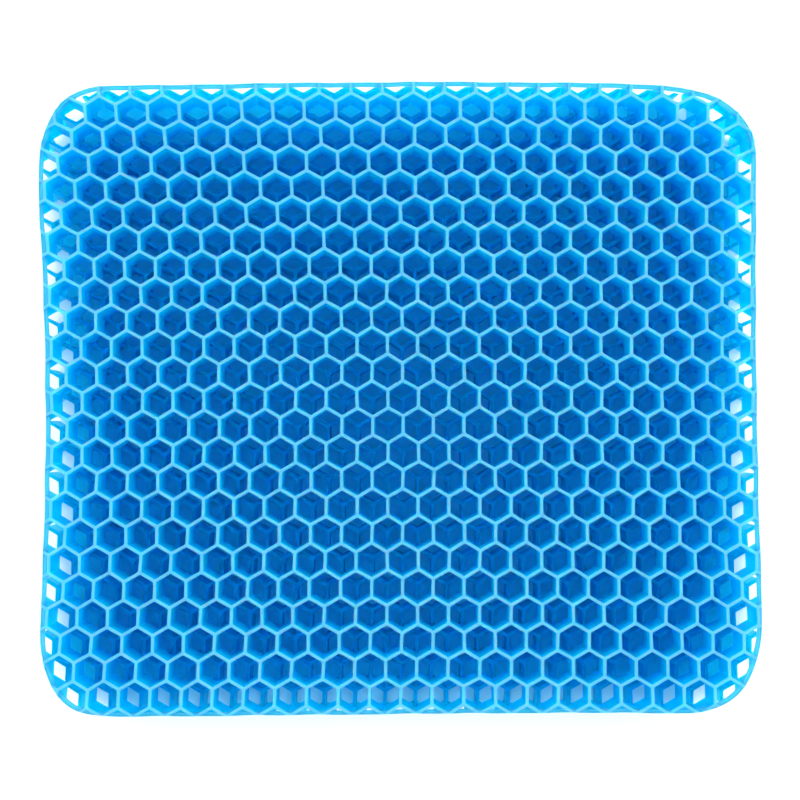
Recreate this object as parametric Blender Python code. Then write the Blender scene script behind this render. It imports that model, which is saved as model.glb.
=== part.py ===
"""Gel seat cushion: a flat rectangular pad with rounded corners.

It is moulded as two stacked honeycomb layers, whose cells are offset from each other.  The
cells run out to the pad's edge and are open there, so the sides are ribbed.  Only a shallow
rim band, just under the top face, ties the ends of the upper walls together.  The three
zones are separate solids here.

Frame: +X across the width, +Y towards the back edge, +Z up.  The origin is the middle of
the underside.  All lengths are in metres.
"""

import math

import bmesh
import bpy
from mathutils import Vector

# ---------------------------------------------------------------- driving dimensions
WIDTH = 0.420  # left to right
DEPTH = 0.371  # front to back
THICKNESS = 0.040  # both layers together
CORNER_RADIUS = 0.044

CELL_WIDTH = 0.0178  # a real cell across its upright sides, wall middle to wall middle
ROW_SPACING = 0.0156  # from one real row of cells to the next
CELL_WALL = 0.0020  # mean thickness of a real cell wall
RIM_WALL = 0.0020
RIM_HEIGHT = 0.0040
RIM_STEP = 0.0012  # the rim band stops this much short of the top face
GAP = 0.0003  # clearance between neighbouring solids

# The real pad has over a thousand cells.  One cell here stands for a block of two by two:
# pitch and wall are both doubled, so each layer keeps its real weight.
CELL_GROUP = 2

# ---------------------------------------------------------------- worked out from them
LAYER_HEIGHT = (THICKNESS - GAP) / 2
PITCH = CELL_GROUP * CELL_WIDTH
ROW_PITCH = CELL_GROUP * ROW_SPACING
APEX = ROW_PITCH * 2 / 3  # from a cell's middle to its front or back corner
OPEN_SHARE = 1 - CELL_WALL / CELL_WIDTH  # a cell's opening, as a share of the whole hexagon
HEXAGON = (
    (PITCH / 2, -APEX / 2),
    (PITCH / 2, APEX / 2),
    (0, APEX),
    (-PITCH / 2, APEX / 2),
    (-PITCH / 2, -APEX / 2),
    (0, -APEX),
)
CELLS_EACH_WAY = math.ceil(WIDTH / 2 / ROW_PITCH) + 1  # from the middle to past the edge
CORNER_STEPS = 6  # straight pieces in each rounded corner


def clear_scene():
    """Start from an empty scene."""
    for item in list(bpy.data.objects):
        bpy.data.objects.remove(item, do_unlink=True)


def gel_material(name, colour, roughness):
    """Soft translucent elastomer of one colour."""
    material = bpy.data.materials.new(name)
    material.use_nodes = True
    shader = material.node_tree.nodes["Principled BSDF"]
    shader.inputs["Base Color"].default_value = (*colour, 1.0)
    shader.inputs["Roughness"].default_value = roughness
    shader.inputs["Metallic"].default_value = 0.0
    return material


def pad_outline(inset):
    """Plan of the pad's edge, set in by a distance: a rounded rectangle, anticlockwise."""
    radius = CORNER_RADIUS - inset
    right = WIDTH / 2 - CORNER_RADIUS
    back = DEPTH / 2 - CORNER_RADIUS
    points = []
    for centre_x, centre_y, start in (
        (right, back, 0),
        (-right, back, 90),
        (-right, -back, 180),
        (right, -back, 270),
    ):
        for step in range(CORNER_STEPS + 1):
            angle = math.radians(start + 90 * step / CORNER_STEPS)
            x = centre_x + radius * math.cos(angle)
            y = centre_y + radius * math.sin(angle)
            points.append((x, y))
    return points


def join_rings(builder, rings):
    """Skin the sides between each ring of corners and the next."""
    for ring, following in zip(rings, rings[1:]):
        for index, corner in enumerate(ring):
            after = (index + 1) % len(ring)
            builder.faces.new((corner, ring[after], following[after], following[index]))


def finish_solid(builder, name, material):
    """Turn a finished mesh builder into an object with its faces pointing out."""
    bmesh.ops.recalc_face_normals(builder, faces=builder.faces[:])
    mesh = bpy.data.meshes.new(name)
    builder.to_mesh(mesh)
    builder.free()
    if material:
        mesh.materials.append(material)
    solid = bpy.data.objects.new(name, mesh)
    bpy.context.collection.objects.link(solid)
    return solid


def edge_block(levels):
    """A block in the pad's outline, with one (inset, height) for each of its rings."""
    builder = bmesh.new()
    rings = []
    for inset, height in levels:
        rings.append([builder.verts.new((x, y, height)) for x, y in pad_outline(inset)])
    join_rings(builder, rings)
    builder.faces.new(rings[0])
    builder.faces.new(rings[-1])
    return finish_solid(builder, "pad_edge", None)


def drop_crumbs(builder):
    """Keep only the largest connected body, without bits of wall that the cut left loose."""
    waiting = set(builder.verts)
    bodies = []
    while waiting:
        body = set()
        front = [waiting.pop()]
        while front:
            corner = front.pop()
            body.add(corner)
            for edge in corner.link_edges:
                neighbour = edge.other_vert(corner)
                if neighbour in waiting:
                    waiting.remove(neighbour)
                    front.append(neighbour)
        bodies.append(body)
    largest = max(bodies, key=len)
    loose = [corner for corner in builder.verts if corner not in largest]
    bmesh.ops.delete(builder, geom=loose, context="VERTS")


def cut_to_block(solid, block):
    """Cut a solid down to what lies inside a block, and remove the block."""
    cut = solid.modifiers.new("pad edge", "BOOLEAN")
    cut.operation = "INTERSECT"
    cut.solver = "EXACT"
    cut.object = block
    builder = bmesh.new()
    builder.from_object(solid, bpy.context.evaluated_depsgraph_get())
    drop_crumbs(builder)
    solid.modifiers.remove(cut)
    builder.to_mesh(solid.data)
    builder.free()
    bpy.data.objects.remove(block)


def honeycomb_layer(name, shift, low, high, levels, material):
    """A plate of whole cells from z = low to z = high, cut off at the pad's edge."""
    builder = bmesh.new()
    for row in range(-CELLS_EACH_WAY, CELLS_EACH_WAY + 1):
        for column in range(-CELLS_EACH_WAY, CELLS_EACH_WAY + 1):
            centre = shift + Vector(((column + (row % 2) / 2) * PITCH, row * ROW_PITCH))
            rings = []
            for share, height in ((1, low), (OPEN_SHARE, low), (OPEN_SHARE, high), (1, high)):
                corners = []
                for x, y in HEXAGON:
                    place = (centre.x + share * x, centre.y + share * y, height)
                    corners.append(builder.verts.new(place))
                rings.append(corners)
            join_rings(builder, rings)
    bmesh.ops.remove_doubles(builder, verts=builder.verts[:], dist=GAP / 10)
    outer_edges = [edge for edge in builder.edges if edge.is_boundary]
    bmesh.ops.bridge_loops(builder, edges=outer_edges)
    layer = finish_solid(builder, name, material)
    cut_to_block(layer, edge_block(levels))
    return layer


def rim_band(name, low, high, material):
    """The band round the pad that the upper walls end on and run across."""
    section = ((0, low), (0, high), (RIM_WALL, high), (RIM_WALL, low), (0, low))
    builder = bmesh.new()
    rings = []
    for inset, height in section[:-1]:
        rings.append([builder.verts.new((x, y, height)) for x, y in pad_outline(inset)])
    join_rings(builder, rings + rings[:1])
    return finish_solid(builder, name, material)


def build():
    """Make the three zones of the pad."""
    clear_scene()
    upper_gel = gel_material("upper_gel", (0.10, 0.62, 0.95), 0.35)
    lower_gel = gel_material("lower_gel", (0.03, 0.36, 0.80), 0.40)
    rim_gel = gel_material("rim_gel", (0.12, 0.55, 0.80), 0.35)

    # The lower cells sit two thirds of a row further back, so that a corner where three
    # lower walls meet lies under the middle of each upper cell.
    lower_shift = Vector((0, ROW_PITCH * 2 / 3))
    lower_levels = ((0, -GAP), (0, THICKNESS))
    honeycomb_layer("lower_honeycomb", lower_shift, 0, LAYER_HEIGHT, lower_levels, lower_gel)

    # The upper walls stay clear of the rim band below, behind and above it.
    rim_high = THICKNESS - RIM_STEP
    rim_low = rim_high - RIM_HEIGHT
    notch = RIM_WALL + GAP
    upper_levels = (
        (0, 0),
        (0, rim_low - GAP),
        (notch, rim_low - GAP),
        (notch, rim_high + GAP),
        (0, rim_high + GAP),
        (0, THICKNESS + GAP),
    )
    low = LAYER_HEIGHT + GAP
    honeycomb_layer("upper_honeycomb", Vector((0, 0)), low, THICKNESS, upper_levels, upper_gel)
    rim_band("top_rim", rim_low, rim_high, rim_gel)


build()
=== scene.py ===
"""Looks of the gel seat cushion: every cell of its two honeycomb layers, and the rim band."""

import math

import bmesh
import bpy
import numpy as np
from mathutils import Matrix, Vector


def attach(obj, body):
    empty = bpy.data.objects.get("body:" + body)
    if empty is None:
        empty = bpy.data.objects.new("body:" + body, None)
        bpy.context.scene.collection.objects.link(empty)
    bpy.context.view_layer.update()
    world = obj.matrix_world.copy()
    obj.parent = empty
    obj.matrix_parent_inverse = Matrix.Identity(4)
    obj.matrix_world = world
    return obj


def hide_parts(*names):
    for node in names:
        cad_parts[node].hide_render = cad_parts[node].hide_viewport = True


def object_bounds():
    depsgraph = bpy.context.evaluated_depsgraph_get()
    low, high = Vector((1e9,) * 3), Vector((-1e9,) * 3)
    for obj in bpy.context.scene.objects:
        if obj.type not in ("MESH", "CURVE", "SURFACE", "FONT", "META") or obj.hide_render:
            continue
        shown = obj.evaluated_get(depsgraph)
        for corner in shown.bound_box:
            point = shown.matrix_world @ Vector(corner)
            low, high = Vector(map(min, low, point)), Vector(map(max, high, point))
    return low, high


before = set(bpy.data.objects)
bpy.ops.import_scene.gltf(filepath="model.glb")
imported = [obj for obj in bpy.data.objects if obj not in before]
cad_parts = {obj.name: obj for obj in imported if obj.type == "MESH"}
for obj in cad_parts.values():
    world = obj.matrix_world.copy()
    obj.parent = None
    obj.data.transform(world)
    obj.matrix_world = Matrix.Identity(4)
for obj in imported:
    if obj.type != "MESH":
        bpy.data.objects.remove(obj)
CAD_LOW, CAD_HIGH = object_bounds()

# ---------------------------------------------------------------- the pad, in cells
# Cells are counted from the one in the middle: columns to the right, rows to the back.
COLUMNS_LEFT = 11.72
COLUMNS_RIGHT = 11.66
ROWS_FRONT = 12.17
ROWS_BACK = 11.60
COLUMNS_WIDE = 23.51  # the CAD box is this many columns wide
ROWS_DEEP = 23.74  # and this many rows deep
LOWER_SHIFT = 2 / 3  # the lower cells lie this many rows further back
CORNER_BACK_RIGHT = (0.074, 0.052)  # how far each corner's bend reaches: along x, along y
CORNER_BACK_LEFT = (0.049, 0.082)
CORNER_FRONT_LEFT = (0.049, 0.068)
CORNER_FRONT_RIGHT = (0.053, 0.074)
CORNER_POWER = 2.8  # a superellipse: 2 would be a round arc
CORNER_POINTS = 18  # straight pieces in each corner's bend
SIDE_POINTS = 70  # and along each side
PLATE_REACH = 14  # rows and columns made each way, to past the pad's edge

# ---------------------------------------------------------------- the pad, in metres
WIDTH = CAD_HIGH.x - CAD_LOW.x
DEPTH = CAD_HIGH.y - CAD_LOW.y
TOP = CAD_HIGH.z
BOTTOM = CAD_LOW.z
MIDDLE = (TOP + BOTTOM) / 2
COLUMN = WIDTH / COLUMNS_WIDE  # from one column of cells to the next
ROW = DEPTH / ROWS_DEEP
APEX = ROW * 2 / 3  # from a cell's middle to its front or back corner

WALL_AT_FACE = 0.00186  # cell walls at the open face of a layer
WALL_AT_MIDDLE = 0.0021  # and where the two layers meet
CELL_FILLET = 0.0008  # rounded upright corners inside a cell
EDGE_ROUND = 0.00045  # rounded edges of the open face
EDGE_BEVEL = EDGE_ROUND * 1.5  # height of the bevel on the walls' ends at that face
RIM_WALL = 0.0020
RIM_HEIGHT = 0.0040
RIM_STEP = 0.0012  # the rim band stops this much short of the top face
RIM_TOP = TOP - RIM_STEP
RIM_BOTTOM = RIM_TOP - RIM_HEIGHT
RIM_ROUND = 0.0006  # rounded edges of the rim band
LAYER_GAP = 0.0001  # between the two layers
RIM_GAP = 0.0001  # between the upper walls and the rim band
FACE_INSET = 0.0002  # the cell walls' ends, over the rim band
BULGE = 0.0030  # the lower layer is wider by this; the upper walls flare out to meet it
CUT_PAST = 0.001  # a cutting block goes this far past a face that it leaves whole
MERGE = 0.000001  # corners closer than this are one
MIDDLE_CELL_X = 0.0021  # where the cell in the middle lies
MIDDLE_CELL_Y = 0.0079

# ---------------------------------------------------------------- how the soft pad lies
# Each is the shift it gives this many cells away from the middle.
SPAN = 11.0
WAIST = 0.0047  # the sides pull in between the corners
SIDE_BOW = 0.0020
SIDE_LEAN = 0.0009
COLUMN_CROWDING = 0.0011  # columns stand closer together towards the two sides
FRONT_DRIFT = 0.0008
SIDE_DRIFT = 0.0004
ROW_SAG = 0.0020  # the ends of the rows lie further forward than their middles
ROW_TILT = 0.0015
ROW_TWIST = 0.0012
FRONT_STRETCH = 0.0024  # rows stand further apart towards the front
ROW_CROWDING = 0.0012
ROW_LEAN = 0.0004
ROW_SPREAD = 0.0010
SIDE_SPLAY = 0.0022  # towards the sides the walls lean, with their feet nearer the middle
BACK_SPLAY = 0.0036  # and more so over the back half
BACK_SLANT = 0.0026  # where their feet also lie further to the left
BACK_START = 0.2  # the lean of the back half sets in here, and over this much, in spans
BACK_BLEND = 0.25
RIPPLE = 0.00022  # small unevenness from cell to cell
RIPPLE_X = (13, 11)  # its waves, in radians over one span: across the pad, and along it
RIPPLE_Y = (14, 12)
RIPPLE_BEND = 3


def lie(points):
    """Carry flat plan points of the regular honeycomb to where the soft pad has them."""
    x = points[:, 0]
    y = points[:, 1]
    a = x / (SPAN * COLUMN)
    b = -y / (SPAN * ROW)
    moved_x = MIDDLE_CELL_X + x + WAIST * a * b**2 - SIDE_BOW * b**2 + SIDE_LEAN * b
    moved_x = moved_x - COLUMN_CROWDING * a**3 + FRONT_DRIFT * a**2 * b - SIDE_DRIFT * a**2
    moved_y = MIDDLE_CELL_Y + y - FRONT_STRETCH * b**2 + ROW_CROWDING * b**3 + ROW_TILT * a
    moved_y = moved_y - ROW_SAG * a**2 - ROW_TWIST * a**3 + ROW_LEAN * a * b
    moved_y = moved_y + ROW_SPREAD * a**2 * b
    moved_x = moved_x + RIPPLE * np.sin(RIPPLE_X[0] * a + RIPPLE_BEND * np.sin(RIPPLE_X[1] * b))
    moved_y = moved_y + RIPPLE * np.sin(RIPPLE_Y[1] * b + RIPPLE_BEND * np.sin(RIPPLE_Y[0] * a))
    return np.stack([moved_x, moved_y], axis=1)


def squared_off(value):
    """A superellipse's coordinate from a circle's."""
    return math.copysign(abs(value) ** (2 / CORNER_POWER), value)


def outline(inset):
    """Plan of the pad's edge, set in by a distance: points anticlockwise."""
    left = -COLUMNS_LEFT * COLUMN + inset
    right = COLUMNS_RIGHT * COLUMN - inset
    front = -ROWS_FRONT * ROW + inset
    back = ROWS_BACK * ROW - inset
    corners = (
        (right, back, -1, -1, CORNER_BACK_RIGHT, 0),
        (left, back, 1, -1, CORNER_BACK_LEFT, 90),
        (left, front, 1, 1, CORNER_FRONT_LEFT, 180),
        (right, front, -1, 1, CORNER_FRONT_RIGHT, 270),
    )
    bends = []
    for x, y, side_x, side_y, reach, start in corners:
        size_x = reach[0] - inset
        size_y = reach[1] - inset
        arc = []
        for step in range(CORNER_POINTS + 1):
            angle = math.radians(start + 90 * step / CORNER_POINTS)
            arc.append(
                (
                    x + side_x * size_x + size_x * squared_off(math.cos(angle)),
                    y + side_y * size_y + size_y * squared_off(math.sin(angle)),
                )
            )
        bends.append(arc)
    points = []
    for index, arc in enumerate(bends):
        points.extend(arc)
        begin = np.array(arc[-1])
        end = np.array(bends[(index + 1) % len(bends)][0])
        for step in range(1, SIDE_POINTS):
            points.append(tuple(begin + (end - begin) * step / SIDE_POINTS))
    return points


def settle(mesh):
    """Lay a finished flat mesh the way the soft pad lies."""
    count = len(mesh.vertices)
    flat = np.empty(count * 3)
    mesh.vertices.foreach_get("co", flat)
    flat = flat.reshape(count, 3)
    depth = (TOP - flat[:, 2]) / (TOP - BOTTOM)
    to_side = flat[:, 0] / (SPAN * COLUMN)
    to_back = flat[:, 1] / (SPAN * ROW)
    back_half = (1 + np.tanh((to_back - BACK_START) / BACK_BLEND)) / 2
    flat[:, :2] = lie(flat[:, :2])
    flat[:, 0] -= depth * (SIDE_SPLAY * to_side + BACK_SLANT * back_half**2)
    flat[:, 1] -= depth * BACK_SPLAY * back_half
    mesh.vertices.foreach_set("co", flat.ravel())
    mesh.update()


# ---------------------------------------------------------------- cell by cell
HEX = (
    (COLUMN / 2, -APEX / 2),
    (COLUMN / 2, APEX / 2),
    (0.0, APEX),
    (-COLUMN / 2, APEX / 2),
    (-COLUMN / 2, -APEX / 2),
    (0.0, -APEX),
)
ARC_STEPS = 2  # straight pieces in each rounded corner of a cell
SHARP_CELL = 40
SHARP_RIM = 50


def cell_ring(half_wall):
    """Inside of a cell's wall in plan: (point, outward direction, corner it belongs to)."""
    corners = [Vector(corner) for corner in HEX]
    outward = []
    for index, corner in enumerate(corners):
        along = (corners[(index + 1) % 6] - corner).normalized()
        outward.append(Vector((along.y, -along.x)))
    ring = []
    for index, corner in enumerate(corners):
        before = outward[index - 1]
        after = outward[index]
        reach = half_wall + CELL_FILLET
        first = before.dot(corner) - reach
        second = after.dot(corner) - reach
        cross = before.x * after.y - before.y * after.x
        centre = Vector(
            (
                (first * after.y - before.y * second) / cross,
                (before.x * second - first * after.x) / cross,
            )
        )
        start = math.atan2(before.y, before.x)
        turn = (math.atan2(after.y, after.x) - start) % math.tau
        for step in range(ARC_STEPS + 1):
            angle = start + turn * step / ARC_STEPS
            way = Vector((math.cos(angle), math.sin(angle)))
            ring.append((centre + way * CELL_FILLET, way, index))
    return ring


def cell_levels():
    """Side of a cell from its open face to the middle of the pad: (set back, depth)."""
    levels = []
    for step in range(3):
        angle = math.radians(90 * step / 2)
        levels.append((EDGE_ROUND * (1 - math.sin(angle)), EDGE_ROUND * (1 - math.cos(angle))))
    swell = (WALL_AT_MIDDLE - WALL_AT_FACE) / 2
    layer = TOP - MIDDLE - LAYER_GAP / 2
    levels.append((-swell / 2, layer / 2))
    levels.append((-swell, layer))
    return levels


def join_rings(builder, rings):
    """Skin the space between each ring of corners and the next."""
    for ring, following in zip(rings, rings[1:]):
        for index in range(len(ring)):
            after = (index + 1) % len(ring)
            builder.faces.new((ring[index], ring[after], following[after], following[index]))


def honeycomb(shift_rows, face, inward):
    """A plate of whole cells, wider than the pad; inward is -1 for the upper layer."""
    ring = cell_ring(WALL_AT_FACE / 2)
    levels = cell_levels()
    depth = levels[-1][1]
    builder = bmesh.new()
    count = len(ring)
    for row in range(-PLATE_REACH, PLATE_REACH + 1):
        offset = 0.0 if row % 2 else 0.5
        middle_y = (row + 0.5 + shift_rows) * ROW
        for column in range(-PLATE_REACH, PLATE_REACH + 1):
            middle_x = (column + offset) * COLUMN
            rims = []
            for height in (face, face + inward * depth):
                rims.append([builder.verts.new((middle_x + x, middle_y + y, height)) for x, y in HEX])
            loops = []
            for set_back, down in levels:
                loop = []
                for point, way, _ in ring:
                    x = middle_x + point.x + way.x * set_back
                    y = middle_y + point.y + way.y * set_back
                    loop.append(builder.verts.new((x, y, face + inward * down)))
                loops.append(loop)
            join_rings(builder, loops)
            for hexagon, loop in ((rims[0], loops[0]), (rims[1], loops[-1])):
                for index in range(count):
                    after = (index + 1) % count
                    corner = ring[index][2]
                    next_corner = ring[after][2]
                    if corner == next_corner:
                        builder.faces.new((hexagon[corner], loop[after], loop[index]))
                    else:
                        builder.faces.new(
                            (hexagon[corner], hexagon[next_corner], loop[after], loop[index])
                        )
    bmesh.ops.remove_doubles(builder, verts=builder.verts[:], dist=MERGE)
    open_edges = [edge for edge in builder.edges if edge.is_boundary]
    bmesh.ops.bridge_loops(builder, edges=open_edges)
    bmesh.ops.recalc_face_normals(builder, faces=builder.faces[:])
    mesh = bpy.data.meshes.new("honeycomb")
    builder.to_mesh(mesh)
    builder.free()
    return mesh


def stepped_block(levels):
    """A closed block in the pad's outline, one (inset, height) for each of its rings."""
    builder = bmesh.new()
    rings = []
    for inset, height in levels:
        rings.append([builder.verts.new((x, y, height)) for x, y in outline(inset)])
    join_rings(builder, rings)
    builder.faces.new(rings[0][::-1])
    builder.faces.new(rings[-1])
    bmesh.ops.recalc_face_normals(builder, faces=builder.faces[:])
    mesh = bpy.data.meshes.new("block")
    builder.to_mesh(mesh)
    builder.free()
    return mesh


def drop_crumbs(builder):
    """Keep only the largest connected body, without bits of wall that a cut left loose."""
    waiting = set(builder.verts)
    bodies = []
    while waiting:
        body = set()
        front = [waiting.pop()]
        while front:
            corner = front.pop()
            body.add(corner)
            for edge in corner.link_edges:
                neighbour = edge.other_vert(corner)
                if neighbour in waiting:
                    waiting.remove(neighbour)
                    front.append(neighbour)
        bodies.append(body)
    largest = max(bodies, key=len)
    loose = [corner for corner in builder.verts if corner not in largest]
    bmesh.ops.delete(builder, geom=loose, context="VERTS")


def cut_to(mesh, block):
    """The part of a mesh that lies inside a block."""
    piece = bpy.data.objects.new("piece", mesh)
    cutter = bpy.data.objects.new("cutter", block)
    bpy.context.collection.objects.link(piece)
    bpy.context.collection.objects.link(cutter)
    boolean = piece.modifiers.new("edge", "BOOLEAN")
    boolean.operation = "INTERSECT"
    boolean.solver = "EXACT"
    boolean.object = cutter
    graph = bpy.context.evaluated_depsgraph_get()
    builder = bmesh.new()
    builder.from_object(piece, graph)
    drop_crumbs(builder)
    result = bpy.data.meshes.new("cut")
    builder.to_mesh(result)
    builder.free()
    bpy.data.objects.remove(piece)
    bpy.data.objects.remove(cutter)
    return result


def add_piece(name, mesh, material, sharp):
    """Put a finished mesh in the scene. Edges bent by more than sharp degrees stay sharp."""
    mesh.name = name
    settle(mesh)
    mesh.materials.clear()
    mesh.materials.append(material)
    mesh.shade_smooth()
    mesh.set_sharp_from_angle(angle=math.radians(sharp))
    piece = bpy.data.objects.new(name, mesh)
    bpy.context.collection.objects.link(piece)
    return piece


def upper_layer(name, material):
    """The upper honeycomb. Its walls stay clear of the rim band, and run out over it."""
    mesh = honeycomb(0.0, TOP, -1)
    levels = [
        (-BULGE, MIDDLE - CUT_PAST),
        (0.0, RIM_BOTTOM - RIM_GAP),
        (RIM_WALL + RIM_GAP, RIM_BOTTOM - RIM_GAP),
        (RIM_WALL + RIM_GAP, RIM_TOP + RIM_GAP),
        (FACE_INSET, RIM_TOP + RIM_GAP),
        (FACE_INSET, TOP - EDGE_BEVEL),
        (FACE_INSET + EDGE_ROUND, TOP + CUT_PAST),
    ]
    return add_piece(name, cut_to(mesh, stepped_block(levels)), material, SHARP_CELL)


def lower_layer(name, material):
    """The lower honeycomb, open all round."""
    mesh = honeycomb(LOWER_SHIFT, BOTTOM, 1)
    levels = [
        (EDGE_ROUND - BULGE, BOTTOM - CUT_PAST),
        (-BULGE, BOTTOM + EDGE_BEVEL),
        (-BULGE, MIDDLE + CUT_PAST),
    ]
    return add_piece(name, cut_to(mesh, stepped_block(levels)), material, SHARP_CELL)


def rim_band(name, material):
    """The shallow band round the pad under the top face, with rounded edges."""
    section = []
    for middle_inset, middle_height, start in (
        (RIM_WALL - RIM_ROUND, RIM_BOTTOM + RIM_ROUND, 270),
        (RIM_WALL - RIM_ROUND, RIM_TOP - RIM_ROUND, 0),
        (RIM_ROUND, RIM_TOP - RIM_ROUND, 90),
        (RIM_ROUND, RIM_BOTTOM + RIM_ROUND, 180),
    ):
        for step in range(3):
            angle = math.radians(start + 45 * step)
            section.append(
                (
                    middle_inset + RIM_ROUND * math.cos(angle),
                    middle_height + RIM_ROUND * math.sin(angle),
                )
            )
    builder = bmesh.new()
    rings = []
    for inset, height in section:
        rings.append([builder.verts.new((x, y, height)) for x, y in outline(inset)])
    join_rings(builder, rings + rings[:1])
    bmesh.ops.recalc_face_normals(builder, faces=builder.faces[:])
    mesh = bpy.data.meshes.new(name)
    builder.to_mesh(mesh)
    builder.free()
    return add_piece(name, mesh, material, SHARP_RIM)


# ---------------------------------------------------------------- materials
FACE_ENDS = 0.004  # depths below the top face, as shares of the pad's thickness
WALLS_BEGIN = 0.018
DEEP_BEGINS = 0.9
LEAST_TONE = 0.95
GLOSS_SPREAD = 0.06


def noise(nodes, links, where, scale, detail):
    """How a fine cloudy pattern varies over the surface."""
    cloud = nodes.new("ShaderNodeTexNoise")
    links.new(where, cloud.inputs["Vector"])
    cloud.inputs["Scale"].default_value = scale
    cloud.inputs["Detail"].default_value = detail
    return cloud.outputs["Fac"]


def stretched(nodes, links, pattern, low, high):
    """A cloudy pattern stretched to run from low to high."""
    stretch = nodes.new("ShaderNodeMapRange")
    stretch.inputs["From Min"].default_value = 0.3
    stretch.inputs["From Max"].default_value = 0.7
    stretch.inputs["To Min"].default_value = low
    stretch.inputs["To Max"].default_value = high
    links.new(pattern, stretch.inputs["Value"])
    return stretch.outputs["Result"]


def gel(name, face_colour, wall_colour, deep_colour, roughness):
    """Soft translucent elastomer, coloured by depth below the top face: a face_colour paler than
    wall_colour is painted light on the open top face; purer blue inside.
    """
    material = bpy.data.materials.new(name)
    material.use_nodes = True
    nodes = material.node_tree.nodes
    links = material.node_tree.links
    shader = nodes["Principled BSDF"]
    shader.inputs["Subsurface Weight"].default_value = 0.9
    shader.inputs["Subsurface Radius"].default_value = (0.03, 0.8, 1.0)
    shader.inputs["Subsurface Scale"].default_value = 0.012
    shader.inputs["Transmission Weight"].default_value = 0.7
    shader.inputs["IOR"].default_value = 1.13
    shader.inputs["Specular IOR Level"].default_value = 0.1

    where = nodes.new("ShaderNodeNewGeometry")
    split = nodes.new("ShaderNodeSeparateXYZ")
    links.new(where.outputs["Position"], split.inputs["Vector"])
    depth = nodes.new("ShaderNodeMath")
    depth.operation = "SUBTRACT"
    depth.inputs[0].default_value = TOP
    links.new(split.outputs["Z"], depth.inputs[1])
    ramp = nodes.new("ShaderNodeValToRGB")
    scaled = nodes.new("ShaderNodeMath")
    scaled.operation = "DIVIDE"
    scaled.inputs[1].default_value = TOP - BOTTOM
    links.new(depth.outputs["Value"], scaled.inputs[0])
    links.new(scaled.outputs["Value"], ramp.inputs["Fac"])
    stops = ramp.color_ramp.elements
    # The face stop: a paler face_colour here is painted light on the open top face, where light falls
    # from above.
    stops[0].position = FACE_ENDS
    stops[0].color = (*face_colour, 1)
    stops[1].position = DEEP_BEGINS
    stops[1].color = (*deep_colour, 1)
    middle = stops.new(WALLS_BEGIN)
    middle.color = (*wall_colour, 1)

    haze = noise(nodes, links, where.outputs["Position"], 70.0, 3.0)
    toned = nodes.new("ShaderNodeHueSaturation")
    links.new(ramp.outputs["Color"], toned.inputs["Color"])
    links.new(stretched(nodes, links, haze, LEAST_TONE, 1.0), toned.inputs["Value"])
    links.new(toned.outputs["Color"], shader.inputs["Base Color"])
    gloss = stretched(nodes, links, haze, roughness - GLOSS_SPREAD, roughness + GLOSS_SPREAD)
    links.new(gloss, shader.inputs["Roughness"])

    bump = nodes.new("ShaderNodeBump")
    bump.inputs["Strength"].default_value = 0.15
    bump.inputs["Distance"].default_value = 0.0002
    grain = noise(nodes, links, where.outputs["Position"], 900.0, 2.0)
    links.new(grain, bump.inputs["Height"])
    links.new(bump.outputs["Normal"], shader.inputs["Normal"])
    return material


def plain(name, colour, roughness):
    """A plain matt surface, for the floor."""
    material = bpy.data.materials.new(name)
    material.use_nodes = True
    shader = material.node_tree.nodes["Principled BSDF"]
    shader.inputs["Base Color"].default_value = (*colour, 1)
    shader.inputs["Roughness"].default_value = roughness
    shader.inputs["Specular IOR Level"].default_value = 0.0
    return material


# ---------------------------------------------------------------- making it
# The upper layer's paler top-face colour is painted light, where light falls on its open top face.
PAINTED_LIGHT_FACE = (0.22, 0.77, 0.96)
UPPER_WALL = (0.0, 0.60, 0.98)
UPPER_DEEP = (0.0, 0.65, 0.98)
LOWER_WALL = (0.0, 0.67, 1.0)
LOWER_DEEP = (0.0, 0.69, 1.0)
# The rim band's darker teal colour is painted shade, for its lower, shaded place under the top face.
RIM_PAINTED_SHADE_FACE = (0.07, 0.46, 0.68)
RIM_PAINTED_SHADE_DEEP = (0.0, 0.46, 0.68)

upper_gel = gel("upper_gel_painted_light_look", PAINTED_LIGHT_FACE, UPPER_WALL, UPPER_DEEP, 0.38)
lower_gel = gel("lower_gel_look", LOWER_WALL, LOWER_WALL, LOWER_DEEP, 0.40)
rim_gel = gel("rim_gel_painted_shade_look", RIM_PAINTED_SHADE_FACE, RIM_PAINTED_SHADE_FACE, RIM_PAINTED_SHADE_DEEP, 0.38)

upper_cells = upper_layer("upper_cells", upper_gel)
lower_cells = lower_layer("lower_cells", lower_gel)
top_band = rim_band("top_band", rim_gel)

for piece, node, slot in (
    (upper_cells, "upper_honeycomb", "upper_gel"),
    (lower_cells, "lower_honeycomb", "lower_gel"),
    (top_band, "top_rim", "rim_gel"),
):
    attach(piece, "root")
    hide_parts(node)


# ---------------------------------------------------------------- floor, light, camera
SKY_FRONT = 4.0
SKY_BACK = 9.3
SKY_SIDES = 0.20
SKY_ABOVE = 0.0005
SKY_FROM = (0.3, 0.95, 0.0)  # where it is brightest: behind, and a little to the right
RING_OUTSIDE = (58, 50)  # degrees from straight up over which the bright ring begins
RING_INSIDE = (38, 33)  # and over which it ends

FLOOR_COLOUR = (0.71, 0.80, 0.79)
FLOOR_SIZE = 6.0  # from the middle to each side
FLOOR_GAP = 0.0002

CAMERA_HEIGHT = 0.87  # above the top face
CAMERA_AT = (-0.0014, -0.0097)
CAMERA_AIM = (0.0004, -0.0009)
WIDTH_SEEN = 0.4656  # on the top face
SENSOR = 36


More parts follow.
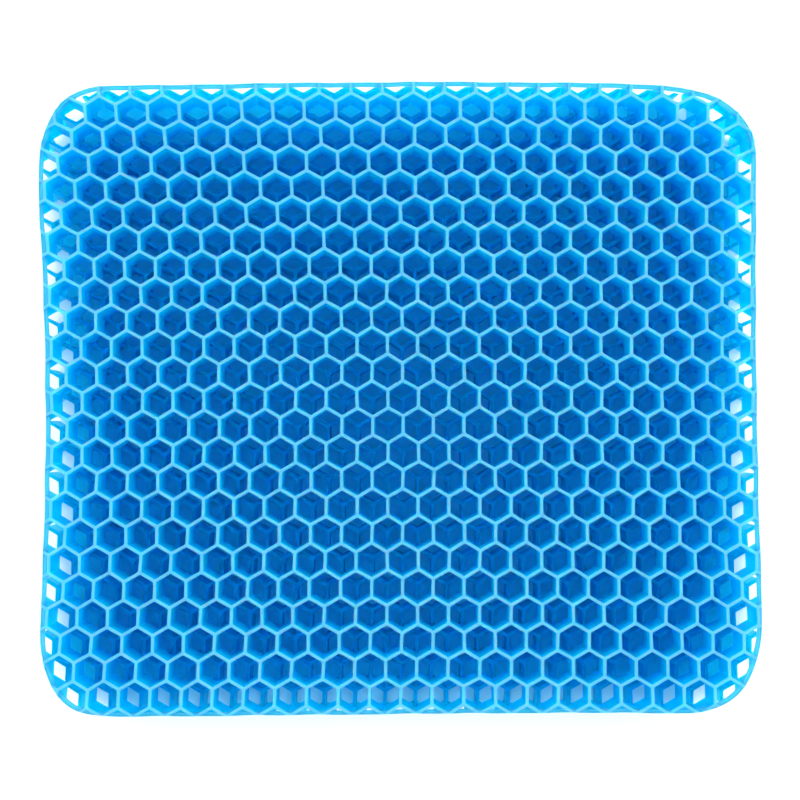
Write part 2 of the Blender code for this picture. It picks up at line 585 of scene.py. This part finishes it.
def make_floor():
    """A wide pale floor just under the pad."""
    mesh = bpy.data.meshes.new("floor")
    corners = [
        (-FLOOR_SIZE, -FLOOR_SIZE, 0),
        (FLOOR_SIZE, -FLOOR_SIZE, 0),
        (FLOOR_SIZE, FLOOR_SIZE, 0),
        (-FLOOR_SIZE, FLOOR_SIZE, 0),
    ]
    mesh.from_pydata(corners, [], [(0, 1, 2, 3)])
    mesh.materials.append(plain("floor_white", FLOOR_COLOUR, 0.9))
    floor = bpy.data.objects.new("floor", mesh)
    floor.location.z = BOTTOM - FLOOR_GAP
    bpy.context.collection.objects.link(floor)


def make_world():
    """White surroundings: brightest behind the pad, and dark straight above it."""
    world = bpy.data.worlds.new("studio")
    world.use_nodes = True
    nodes = world.node_tree.nodes
    links = world.node_tree.links
    background = nodes["Background"]
    where = nodes.new("ShaderNodeTexCoord")
    split = nodes.new("ShaderNodeSeparateXYZ")
    links.new(where.outputs["Generated"], split.inputs["Vector"])
    fade = nodes.new("ShaderNodeValToRGB")
    links.new(split.outputs["Z"], fade.inputs["Fac"])
    stops = fade.color_ramp.elements
    stops[0].position = math.cos(math.radians(RING_OUTSIDE[0]))
    stops[0].color = (SKY_SIDES, SKY_SIDES, SKY_SIDES, 1)
    stops[1].position = math.cos(math.radians(RING_INSIDE[1]))
    stops[1].color = (SKY_ABOVE, SKY_ABOVE, SKY_ABOVE, 1)
    for angle in (RING_OUTSIDE[1], RING_INSIDE[0]):
        ring = stops.new(math.cos(math.radians(angle)))
        ring.color = (1, 1, 1, 1)
    behind = nodes.new("ShaderNodeVectorMath")
    behind.operation = "DOT_PRODUCT"
    behind.inputs[1].default_value = SKY_FROM
    links.new(where.outputs["Generated"], behind.inputs[0])
    sides = nodes.new("ShaderNodeMapRange")
    links.new(behind.outputs["Value"], sides.inputs["Value"])
    sides.inputs["From Min"].default_value = -1.0
    sides.inputs["From Max"].default_value = 1.0
    sides.inputs["To Min"].default_value = SKY_FRONT
    sides.inputs["To Max"].default_value = SKY_BACK
    links.new(fade.outputs["Color"], background.inputs["Color"])
    links.new(sides.outputs["Result"], background.inputs["Strength"])
    bpy.context.scene.world = world


def make_camera():
    """Straight above the pad, a little in front of its middle."""
    data = bpy.data.cameras.new("camera")
    data.sensor_width = SENSOR
    data.lens = SENSOR * CAMERA_HEIGHT / WIDTH_SEEN
    data.clip_start = 0.01
    camera = bpy.data.objects.new("camera", data)
    camera.location = (*CAMERA_AT, TOP + CAMERA_HEIGHT)
    aim = Vector((*CAMERA_AIM, TOP)) - camera.location
    camera.rotation_euler = (math.atan2(aim.y, -aim.z), -math.atan2(aim.x, -aim.z), 0)
    bpy.context.collection.objects.link(camera)
    bpy.context.scene.camera = camera


make_floor()
make_world()
make_camera()
bpy.context.scene.view_settings.view_transform = "Standard"
bpy.context.scene.cycles.max_bounces = 16
bpy.context.scene.cycles.diffuse_bounces = 12
